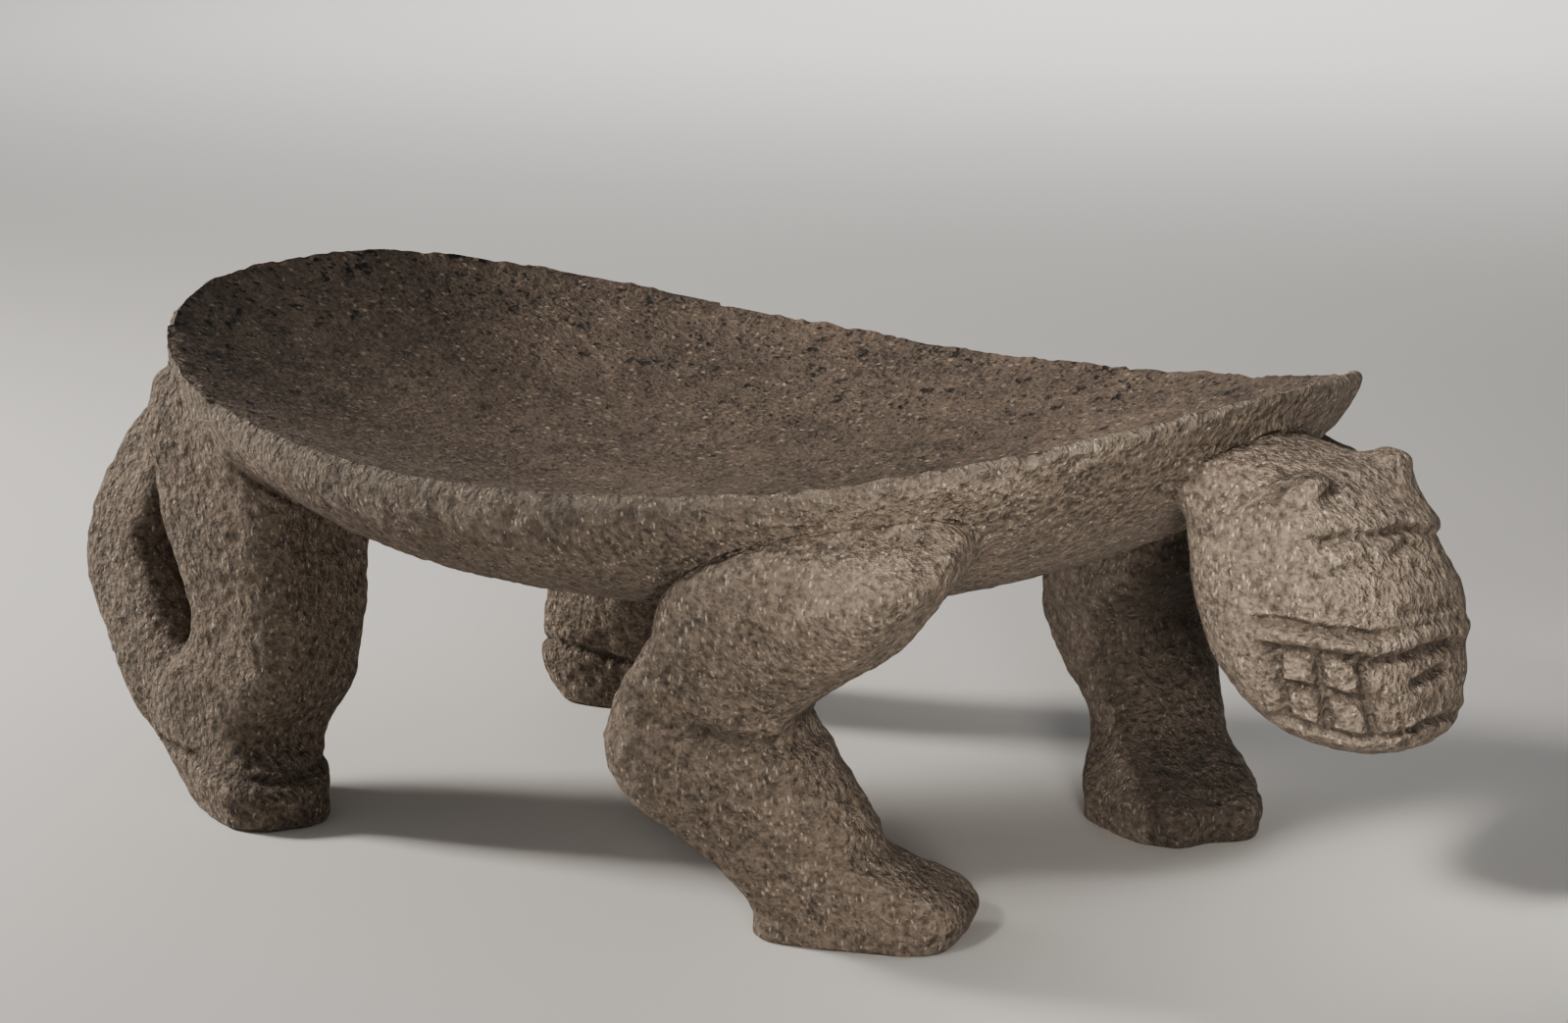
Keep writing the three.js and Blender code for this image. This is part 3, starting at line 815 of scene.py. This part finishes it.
# %% The raised and the sunk lines of the face
RAISED_BOTH = (
    ([(56, 210), (40, 213), (24, 211), (0, 211)], 7.0, 1.8),
    ([(97, 161), (80, 162)], 6.5, 1.8),
    ([(80, 162), (74, 162), (55, 160), (41, 158)], 6.0, 3.8),
    ([(41, 158), (20, 158.5)], 6.0, 1.8),
    ([(20, 158.5), (0, 159)], 6.0, 1.0),
    ([(92, 110), (62, 107)], 7.0, 1.4),
)
SUNK_BOTH = (
    ([(52, 203), (41, 206), (33, 207), (25, 205), (12, 204.5), (0, 205)], 4.2, 2.6),
    ([(58, 191), (48, 193), (37, 194), (29, 196)], 3.6, 1.7),
    ([(16, 195), (5, 198), (0, 198.5)], 3.8, 2.6),
    ([(90, 167), (74, 168), (61, 166), (46, 164.5), (36, 164)], 4.0, 4.6),
    ([(34, 164), (10, 164), (0, 164)], 4.0, 1.2),
    ([(92, 155), (65, 156.5), (55, 155), (41, 152), (26, 152.5), (0, 153.5)], 4.6, 5.0),
    ([(84, 155), (89, 142), (98, 121)], 4.2, 4.8),
    ([(65, 156), (68, 141), (76, 115)], 4.4, 6.0),
    ([(47, 152), (47, 146), (49, 132), (50, 114)], 4.2, 5.4),
    ([(91, 138), (69, 137.5), (54, 134), (48, 133)], 4.4, 6.0),
    ([(102, 119), (80, 114.5), (64, 112), (41, 112.5), (15, 116), (0, 116.5)], 4.6, 3.8),
    ([(22, 172), (8, 169.5), (0, 169.5)], 4.5, 1.8),
)
SUNK_ONCE = (
    ([(-20, 138), (-9, 140.5), (9, 141.5)], 4.2, 4.2),
    ([(-41, 136), (-40, 133)], 4.2, 2.6),
    ([(-2, 190), (5, 188)], 3.6, 1.8),
)
LEFT_LOWER = 8.5
print("lines", len(RAISED_BOTH), "raised and", len(SUNK_BOTH) + len(SUNK_ONCE), "sunk")


def drawn_height(angle, z):
    """The height that a place has in the lists: on the left the lines come out lower."""
    return z + LEFT_LOWER * ramp(angle, 0.0, 0.7) * ramp(z, 112.0, 205.0)


def face_lines(angle, z, along, across):
    """The highest of the raised lines less the deepest of the sunk ones. The half-sizes come
    along because every relief is given them, and the lines don't depend on them."""
    turned = np.abs(angle)
    z = drawn_height(angle, z)
    lightly = 1.0 - 0.8 * bell((angle - math.radians(38)) / math.radians(30))
    highest = np.zeros(np.broadcast(angle, z).shape)
    deepest = highest.copy()
    for points, width, rise in RAISED_BOTH:
        highest = np.maximum(highest, rise * stroke(turned, z, points, width))
    for points, width, depth in SUNK_BOTH:
        deepest = np.maximum(deepest, depth * stroke(turned, z, points, width))
    for points, width, depth in SUNK_ONCE:
        deepest = np.maximum(deepest, depth * stroke(angle, z, points, width))
    return (highest - deepest) * lightly


def face_relief(angle, z, along, across):
    """The lines, less a flat forehead, a step back under the brow and one round the teeth."""
    lines = face_lines(angle, z, along, across)
    lowered = drawn_height(angle, z)
    in_front = 1.0 - ramp(np.abs(angle), math.radians(50), math.radians(78))
    forehead = 2.6 * bell(angle / math.radians(62)) * bell((z - 219.0) / 20.0)
    under_brow = (3.1 + 0.9 * np.sin(1.5 * angle)) * in_front * (
        1.0 - ramp(lowered, 204.0, 208.5)) * ramp(lowered, 178.0, 200.0)
    teeth = 1.8 * ramp(lowered, 117.0, 125.0) * (1.0 - ramp(lowered, 147.0, 153.0)) * (
        1.0 - ramp(np.abs(angle), math.radians(92), math.radians(106)))
    return lines - forehead - under_brow - teeth


# %% [markdown]
# ## The ears
# Each ear is a knob that belongs to the head's own shape, so the settling has made
# it already. Its hollow is an arch, like the rim of a cup. It is given by points in
# space, and is cut in from where the ear faces: the distance to their chain is
# measured square to that direction, and the skin sinks where it is small.

# %% The head with its ears
EAR_ARCHES = (
    ((353, -48, 223), (355, -43, 228), (359, -40, 231), (363, -35, 234), (366, -26, 234),
     (372, -26, 232), (374, -24, 228), (376, -31, 225), (375, -36, 223)),
    ((353, 48, 223), (355, 43, 228), (359, 41, 231), (364, 40, 233), (369, 42, 230),
     (373, 44, 226)),
)
EAR_FACING = np.array([0.63, 0.75, 0.2])
EAR_GROOVE_WIDTH, EAR_GROOVE_DEPTH = 5.5, 3.6
CHIN_LIFT, CHIN_LIFT_FROM, CHIN_LIFT_TO = 4.5, 98.0, 150.0


def ear_arch(points, chain):
    """A bell of the distance to the chain, square to the way the ear faces, on its own side."""
    place, ends = mirrored(points), mirrored(np.array(chain, float))
    deep = (place - ends.mean(axis=0)) @ EAR_FACING
    flat = place - (place @ EAR_FACING)[..., None] * EAR_FACING
    flat_ends = ends - (ends @ EAR_FACING)[:, None] * EAR_FACING
    same_side = points[..., 1] * chain[0][1] > 0.0
    return near_chain(flat, flat_ends, EAR_GROOVE_WIDTH) * ramp(deep, -20.0, -12.0) * same_side


plain = slice_grid(face_table, HEAD_POWER, HEAD_ROWS, HEAD_SIDES)
lined = slice_grid(face_table, HEAD_POWER, HEAD_ROWS, HEAD_SIDES, face_lines)
carved = slice_grid(face_table, HEAD_POWER, HEAD_ROWS, HEAD_SIDES, face_relief)
head_grid = carve(plain, carved, "head", 0.7)
head_grid[..., 2] += CHIN_LIFT * (1.0 - ramp(head_grid[..., 2], CHIN_LIFT_FROM, CHIN_LIFT_TO))
arch = np.maximum(*[ear_arch(head_grid, chain) for chain in EAR_ARCHES])
head_grid = head_grid - grid_normals(head_grid) * (EAR_GROOVE_DEPTH * arch)[..., None]
# The relief's depth and the ear arches go with the skin, for painted shade in the grooves.
head_hollow_shade = np.maximum(relief_depth(plain, lined), arch)
head = add_closed_skin("carved_head", head_grid, {"hollow_shade": head_hollow_shade})

# %% [markdown]
# ## The tail
# The tail is a strap with a rounded section, carried along its path. Its ends run
# on into the plate and the heel, where the walk to the whole stone's surface
# fillets them.

# %% The tail
TAIL_SIDES, TAIL_ROWS = 150, 300
rows = np.linspace(0, len(tail_path) - 1, TAIL_ROWS)
path, wide, deep = (
    np.stack([np.interp(rows, np.arange(len(tail_path)), part[:, c]) for c in range(3)], axis=-1)
    for part in (tail_path, tail_wide, tail_deep)
)
angle = np.linspace(-np.pi, np.pi, TAIL_SIDES, endpoint=False)
reach = slice_reach(angle, TAIL_HALF_WIDE, TAIL_HALF_DEEP, TAIL_POWER)
tail_grid = (path[:, None] + (reach * np.cos(angle))[None, :, None] * wide[:, None]
             + (reach * np.sin(angle))[None, :, None] * deep[:, None])
tail_grid = carve(tail_grid, tail_grid, "tail")
tail = add_closed_skin("carved_tail", tail_grid)

# %% [markdown]
# ## Spots: pits and flecks
# Pecking leaves a pit where each blow fell, and the stone itself shows pale grains.
# Both are small scattered spots. A cellular texture gives one spot to a cell, a
# share of the cells keeps its spot, and noise in the coordinates makes it ragged.
# The group is built once, and every finish places it with values of its own.

# %% Spots: pits and flecks


def new_group(name, inputs, *outputs):
    """An empty shader group with a place, the named number inputs and their values, and its
    outputs."""
    group = bpy.data.node_groups.new(name, "ShaderNodeTree")
    group.interface.new_socket("Place", in_out="INPUT", socket_type="NodeSocketVector")
    for label, value in inputs.items():
        socket = group.interface.new_socket(label, in_out="INPUT", socket_type="NodeSocketFloat")
        socket.default_value = value
    for label in outputs:
        group.interface.new_socket(label, in_out="OUTPUT", socket_type="NodeSocketFloat")
    return group, group.nodes.new("NodeGroupInput"), group.nodes.new("NodeGroupOutput")


def add_node(tree, kind, inputs=None, **settings):
    """Adds a node, sets it up, and fills its inputs with values or links."""
    made = tree.nodes.new(kind)
    for key, value in settings.items():
        setattr(made, key, value)
    for key, value in (inputs or {}).items():
        if isinstance(value, bpy.types.NodeSocket):
            tree.links.new(value, made.inputs[key])
        else:
            made.inputs[key].default_value = value
    return made


def math_node(tree, operation, first, second):
    """One sum, difference, product or comparison of two values or links."""
    return add_node(tree, "ShaderNodeMath", {0: first, 1: second}, operation=operation).outputs[0]


def times(tree, first, second):
    """The product, which the groups and finishes need most."""
    return math_node(tree, "MULTIPLY", first, second)


def vector_node(tree, operation, inputs):
    """One step of vector arithmetic."""
    return add_node(tree, "ShaderNodeVectorMath", inputs, operation=operation).outputs[0]


def build_spots():
    """One ragged spot to a cell, in a share of the cells, each with its own strength."""
    group, given, result = new_group(
        "stone_spots", {"Per metre": 400.0, "Share": 0.4, "Size": 0.45, "Ragged": 0.6}, "Spot")
    place, density, share, size, ragged = (given.outputs[i] for i in range(5))
    finer = times(group, density, 1.7)
    noise = add_node(group, "ShaderNodeTexNoise", {"Vector": place, "Scale": finer, "Detail": 2.0})
    centred = vector_node(group, "SUBTRACT", {0: noise.outputs["Color"], 1: (0.5, 0.5, 0.5)})
    amount = math_node(group, "DIVIDE", ragged, density)
    shift = vector_node(group, "SCALE", {0: centred, "Scale": amount})
    moved = vector_node(group, "ADD", {0: place, 1: shift})
    cells = add_node(group, "ShaderNodeTexVoronoi", {"Vector": moved, "Scale": density})
    parts = add_node(group, "ShaderNodeSeparateColor", {0: cells.outputs["Color"]})
    kept = math_node(group, "LESS_THAN", parts.outputs[0], share)
    core = add_node(group, "ShaderNodeMapRange", {
        "Value": cells.outputs["Distance"], "From Min": size, "From Max": 0.06,
    }, interpolation_type="SMOOTHSTEP")
    strength = add_node(group, "ShaderNodeMapRange", {
        "Value": parts.outputs[1], "To Min": 0.45, "To Max": 1.0})
    spot = times(group, times(group, kept, core.outputs[0]), strength.outputs[0])
    group.links.new(spot, result.inputs[0])
    return group


stone_spots = build_spots()
print("group", stone_spots.name, len(stone_spots.nodes), "nodes")

# %% [markdown]
# ## Grain
# Between the pits the surface is granular, and the mason's strokes run slantwise.
# Grain is noise at two sizes, and a stroke is noise on stretched coordinates. The
# result is a height in millimetres, ready for a Bump node, and the fine part of it
# alone, which the finishes also put into the colour as painted shade and highlight:
# lighter on the fine crests, darker between them, and not on the broad lumps.

# %% Grain


def centred_noise(tree, inputs):
    """Noise less one half, so that on average it adds nothing."""
    noise = add_node(tree, "ShaderNodeTexNoise", inputs)
    return math_node(tree, "SUBTRACT", noise.outputs["Fac"], 0.5)


def build_grain():
    """Grain and slanting strokes added up, and lumps on top, as heights in millimetres."""
    group, given, result = new_group(
        "stone_grain", {"Lumps": 1.0, "Grain": 0.8, "Strokes": 0.5}, "Height", "Fine")
    place = given.outputs[0]
    turned = add_node(group, "ShaderNodeMapping", {
        "Vector": place, "Rotation": (math.radians(24), math.radians(-38), math.radians(15)),
        "Scale": (480.0, 480.0, 220.0)})
    noises = (
        {"Vector": place, "Scale": 130.0, "Detail": 2.0},
        {"Vector": place, "Scale": 240.0, "Detail": 4.0, "Roughness": 0.6},
        {"Vector": turned.outputs[0], "Scale": 1.0, "Detail": 2.0},
    )
    lumps, grain, strokes = (
        times(group, centred_noise(group, inputs), given.outputs[which])
        for which, inputs in enumerate(noises, 1)
    )
    fine = math_node(group, "ADD", grain, strokes)
    group.links.new(math_node(group, "ADD", lumps, fine), result.inputs["Height"])
    # The fine height alone also goes out, for the finishes' painted shade and highlight.
    group.links.new(fine, result.inputs["Fine"])
    return group


stone_grain = build_grain()
print("group", stone_grain.name, len(stone_grain.nodes), "nodes")

# %% [markdown]
# ## Mottling
# The block is not one colour. Broad clouds of brown and grey, finer blotches and
# a salt-and-pepper speckle lie over one another. One group mixes three noises to
# a single value, and each finish turns that into its own two colours.

# %% Mottling


def build_mottle():
    """Clouds, blotches and speckle, each a noise about its middle, added to one half."""
    group, given, result = new_group(
        "stone_mottle", {"Clouds": 0.7, "Blotches": 0.6, "Speckle": 1.0}, "Tone")
    tone = 0.5
    for which, (scale, detail) in enumerate(((9.0, 2.0), (52.0, 3.0), (500.0, 3.0)), 1):
        noise = centred_noise(group, {
            "Vector": given.outputs[0], "Scale": scale, "Detail": detail, "Roughness": 0.6})
        tone = math_node(group, "ADD", times(group, noise, given.outputs[which]), tone)
    group.links.new(tone, result.inputs[0])
    return group


stone_mottle = build_mottle()
print("group", stone_mottle.name, len(stone_mottle.nodes), "nodes")

# %% [markdown]
# ## The two finishes
# Pecked stone is coarse: dense pits, strokes and pale grains. In the dish the
# grinding has worn the same stone smoother and browner, with only scattered pores
# left. Both finishes are the same recipe with different values, so they are made
# by one function. The pits are dents in the bump, and their dark colour is painted
# shade. The skins' own attributes add painted shade in the carved hollows, and grey the rim.

# %% The two finishes
# The third value is how strongly the carved hollows are darkened with painted shade.
WEAR, BAND_TINT, HOLLOW_PAINTED_SHADE = 0.6, 0.35, 0.6


def place_group(tree, group, place, stretch=None, **values):
    """Places a group on the stone. Turned and stretched coordinates make its marks long."""
    made = add_node(tree, "ShaderNodeGroup", node_tree=group)
    if stretch:
        turn, thinner = stretch
        place = add_node(tree, "ShaderNodeMapping", {
            "Vector": place, "Rotation": tuple(math.radians(v) for v in turn),
            "Scale": (1.0, 1.0, thinner)}).outputs[0]
    tree.links.new(place, made.inputs["Place"])
    for label, value in values.items():
        made.inputs[label.replace("_", " ")].default_value = value
    return made.outputs


def painted(tree, name):
    """The value that the skins carry under this name, point by point."""
    return add_node(tree, "ShaderNodeAttribute", attribute_name=name).outputs["Fac"]


def blend(tree, share, first, second):
    """The first colour less its share, plus the share of the second: values or links."""
    made = add_node(tree, "ShaderNodeMix", data_type="RGBA", blend_type="MIX")
    for index, value in ((0, share), (6, first), (7, second)):
        socket = made.inputs[index]
        if isinstance(value, bpy.types.NodeSocket):
            tree.links.new(value, socket)
        else:
            socket.default_value = value if isinstance(value, float) else (*value, 1.0)
    return made.outputs[2]


def stone_finish(name, colours, mottle, grain, painted_grain_shade, pits, flecks, roughness):
    """Two tones by the mottling and by painted shade and highlight from the fine grain, pits darkened
    with painted shade, flecks light, and all relief as bump.
    """
    material = bpy.data.materials.new(name)
    material.use_nodes = True
    tree = material.node_tree
    shader = tree.nodes["Principled BSDF"]
    place = add_node(tree, "ShaderNodeTexCoord").outputs["Object"]
    left = math_node(tree, "SUBTRACT", 1.0, times(tree, painted(tree, "worn"), WEAR))
    relief = place_group(tree, stone_grain, place, **grain)
    height = times(tree, relief["Height"], left)
    tone = place_group(tree, stone_mottle, place, **mottle)["Tone"]
    # Painted shade and highlight: the fine grain's height lightens its crests and darkens its
    # hollows.
    tone = math_node(tree, "ADD", tone, times(tree, relief["Fine"], painted_grain_shade))
    share = add_node(tree, "ShaderNodeClamp", {0: tone}).outputs[0]
    colour = blend(tree, share, colours["dark"], colours["light"])
    colour = blend(tree, times(tree, painted(tree, "band"), BAND_TINT), colour, colours["band"])
    for values in flecks:
        depth = values.pop("depth")
        spot = place_group(tree, stone_spots, place, **values)["Spot"]
        colour = blend(tree, spot, colour, colours["fleck"])
        height = math_node(tree, "ADD", height, times(tree, spot, depth))
    # Each pit is a dent in the bump, and its dark colour is painted shade.
    for values in pits:
        depth, dark = values.pop("depth"), values.pop("dark")
        spot = times(tree, place_group(tree, stone_spots, place, **values)["Spot"], left)
        colour = blend(tree, times(tree, spot, dark), colour, colours["painted_shade"])
        height = math_node(tree, "SUBTRACT", height, times(tree, spot, depth))
    # Painted shade: the carved hollows are darkened by their depth.
    colour = blend(tree, times(tree, painted(tree, "hollow_shade"), HOLLOW_PAINTED_SHADE), colour, colours["painted_shade"])
    tree.links.new(colour, shader.inputs["Base Color"])
    rough = add_node(tree, "ShaderNodeMapRange", {
        "Value": tone, "To Min": roughness[0], "To Max": roughness[1]})
    tree.links.new(rough.outputs[0], shader.inputs["Roughness"])
    shader.inputs["Specular IOR Level"].default_value = 0.35
    bump = add_node(tree, "ShaderNodeBump", {"Height": height, "Distance": MM, "Strength": 1.0})
    tree.links.new(bump.outputs[0], shader.inputs["Normal"])
    print("finish", name, len(tree.nodes), "nodes")
    return material


# %% The pecked finish
# The darkest colour is painted shade, for the pits and the carved hollows.
pecked_stone = stone_finish(
    "pecked_stone",
    {"dark": (0.050, 0.037, 0.027), "light": (0.285, 0.222, 0.168), "band": (0.15, 0.127, 0.102),
     "fleck": (0.56, 0.47, 0.38), "painted_shade": (0.016, 0.011, 0.008)},
    {"Clouds": 0.55, "Blotches": 0.5, "Speckle": 1.0},
    {"Lumps": 6.5, "Grain": 10.0, "Strokes": 1.2},
    0.22,
    [{"Per_metre": 260.0, "Share": 0.28, "Size": 0.5, "Ragged": 1.3, "depth": 1.5, "dark": 0.24},
     {"Per_metre": 480.0, "Share": 0.45, "Size": 0.5, "Ragged": 0.9, "depth": 0.9, "dark": 0.32}],
    [{"Per_metre": 420.0, "Share": 0.3, "Size": 0.4, "Ragged": 0.8, "depth": 0.25,
      "stretch": ((20, 35, 10), 0.42)},
     {"Per_metre": 460.0, "Share": 0.26, "Size": 0.38, "Ragged": 0.8, "depth": 0.25,
      "stretch": ((-50, 15, 60), 0.5)}],
    (0.82, 0.98),
)

# %% The ground finish
# The darkest colour is painted shade, for the pores and the carved hollows.
ground_stone = stone_finish(
    "ground_stone",
    {"dark": (0.042, 0.029, 0.020), "light": (0.190, 0.138, 0.099), "band": (0.14, 0.125, 0.105),
     "fleck": (0.42, 0.33, 0.25), "painted_shade": (0.014, 0.010, 0.007)},
    {"Clouds": 0.9, "Blotches": 1.0, "Speckle": 1.8},
    {"Lumps": 1.8, "Grain": 3.0, "Strokes": 1.2},
    0.5,
    [{"Per_metre": 100.0, "Share": 0.4, "Size": 0.44, "Ragged": 1.6, "depth": 1.6, "dark": 2.0},
     {"Per_metre": 220.0, "Share": 0.46, "Size": 0.46, "Ragged": 1.1, "depth": 0.9, "dark": 1.8}],
    [{"Per_metre": 230.0, "Share": 0.26, "Size": 0.44, "Ragged": 1.2, "depth": 0.0,
      "stretch": ((90, 0, 25), 0.5)}],
    (0.66, 0.9),
)

# %% [markdown]
# ## Each piece stands for its CAD member
# A finished skin replaces the plain solid of the same member, rides on the one
# rigid body, and wears its stone finish.

# %% Each piece stands for its CAD member
for piece, node in (
    (underside, "grinding_plate"),
    (ground_dish, "grinding_plate"),
    (head, "head"),
    (tail, "tail"),
    *zip(legs, LEG_TABLES),
):
    is_dish = piece is ground_dish
    piece.data.materials.append(ground_stone if is_dish else pecked_stone)
    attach(piece, "root")
    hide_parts(node)
    print(piece.name, "stands for", node)

# %% [markdown]
# ## Floor and light
# A plain pale floor and soft lamps show the stone's form without drama. A wide
# lamp overhead fills the shadows. A small one behind the left of the view rakes
# over the dish, the tail and the outer sides of the legs, as the light does in the
# photograph. Two weak beams bring out the face and the front, and one lamp lights
# the floor behind the stone.

# %% Floor and light
FLOOR_HALF = 30.0
MIDDLE = (0.0, 0.0, 0.12)
WARM = (1.0, 0.95, 0.88)
LAMPS = (
    ("sky_lamp", (0.0, 0.0, 5.0), MIDDLE, 10.0, 80.0, (0.97, 0.98, 1.0), 180.0),
    ("rear_lamp", (-1.95, -0.75, 1.1), MIDDLE, 0.45, 80.0, WARM, 180.0),
    ("head_lamp", (0.35, -1.5, 1.15), (0.36, -0.03, 0.19), 0.3, 0.8, WARM, 16.0),
    ("front_lamp", (1.5, -1.35, 0.42), (0.25, -0.03, 0.17), 0.36, 1.0, WARM, 24.0),
    ("back_lamp", (-2.4, 4.0, 2.6), (-2.6, 3.9, 0.0), 3.0, 90.0, (1.0, 0.99, 0.97), 95.0),
)


def add_lamp(name, place, target, size, power, colour, spread):
    """A square lamp at its place, aimed at the target, with a beam of the given spread."""
    data = bpy.data.lights.new(name, "AREA")
    data.spread = math.radians(spread)
    data.shape = "SQUARE"
    data.size = size
    data.energy = power
    data.color = colour
    lamp = bpy.data.objects.new(name, data)
    lamp.location = place
    lamp.rotation_euler = (Vector(place) - Vector(target)).to_track_quat("Z", "Y").to_euler()
    bpy.context.scene.collection.objects.link(lamp)


floor_mesh = bpy.data.meshes.new("studio_floor")
floor_corners = [(FLOOR_HALF * u, FLOOR_HALF * v, 0) for u, v in ((-1, -1), (1, -1), (1, 1), (-1, 1))]
floor_mesh.from_pydata(floor_corners, [], [(0, 1, 2, 3)])
floor = bpy.data.objects.new("studio_floor", floor_mesh)
bpy.context.scene.collection.objects.link(floor)
floor_material = bpy.data.materials.new("pale_floor")
floor_material.use_nodes = True
floor_shader = floor_material.node_tree.nodes["Principled BSDF"]
floor_shader.inputs["Base Color"].default_value = (0.66, 0.64, 0.61, 1.0)
floor_shader.inputs["Roughness"].default_value = 0.85
floor_mesh.materials.append(floor_material)

for lamp_values in LAMPS:
    add_lamp(*lamp_values)
world = bpy.data.worlds.new("studio_world")
world.use_nodes = True
background = world.node_tree.nodes["Background"]
background.inputs["Color"].default_value = (0.9, 0.92, 0.95, 1.0)
background.inputs["Strength"].default_value = 0.14
bpy.context.scene.world = world
print("lamps", [values[0] for values in LAMPS])
